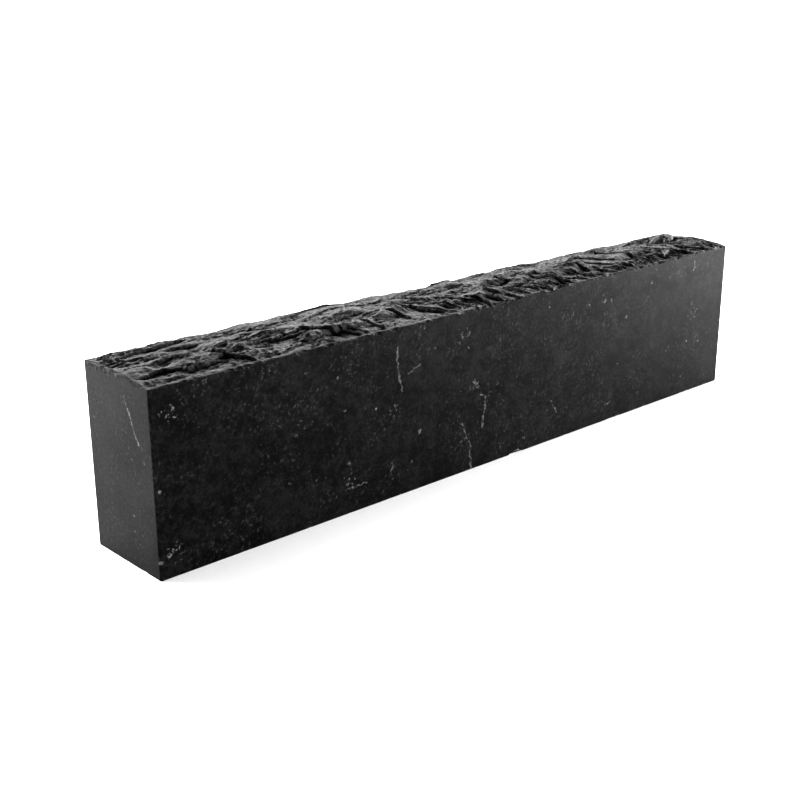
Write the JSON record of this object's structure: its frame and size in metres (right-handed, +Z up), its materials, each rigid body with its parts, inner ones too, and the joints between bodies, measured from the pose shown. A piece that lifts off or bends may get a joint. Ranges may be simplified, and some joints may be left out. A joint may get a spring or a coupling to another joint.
{
  "type": "sharpening whetstone",
  "caption": "Rectangular block of dark fine-grained natural stone for sharpening blades, with flat sawn faces and a rough cleft top.",
  "frame": {"origin": "middle of the sawn bottom face, on the surface that the stone rests on", "axes": "+X along the length, Y through the thickness with the large honing face looking along -Y, +Z up to the cleft face"},
  "size_m": [0.2, 0.025, 0.0443],
  "materials": {
    "stone": "satin"
  },
  "bodies": {
    "root": {"stone_block": "stone"}
  },
  "joints": []
}
